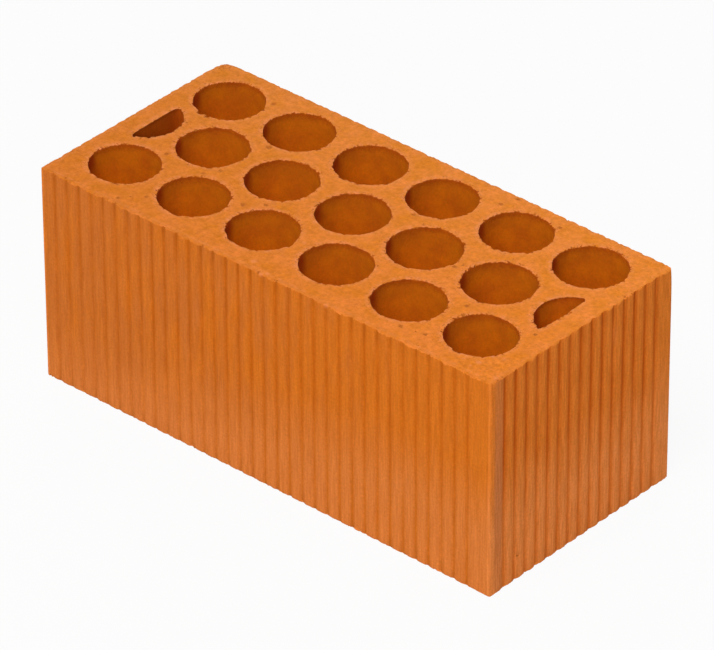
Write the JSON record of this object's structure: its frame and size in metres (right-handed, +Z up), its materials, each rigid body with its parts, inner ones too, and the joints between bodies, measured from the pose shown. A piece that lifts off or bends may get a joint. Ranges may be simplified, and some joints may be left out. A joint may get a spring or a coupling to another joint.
{
  "type": "perforated clay brick",
  "caption": "Extruded perforated clay brick with three staggered rows of round through-holes, a part hole at each end, and combed sides.",
  "frame": {"origin": "middle of the underside (the lower bed face)", "axes": "+X along the length, +Y across the width, +Z up through the holes, towards the upper bed face"},
  "size_m": [0.238, 0.11, 0.1],
  "materials": {
    "fired_clay": "matt, unglazed, combed sides and wire-cut beds"
  },
  "bodies": {
    "root": {"brick": "fired_clay"}
  },
  "joints": []
}
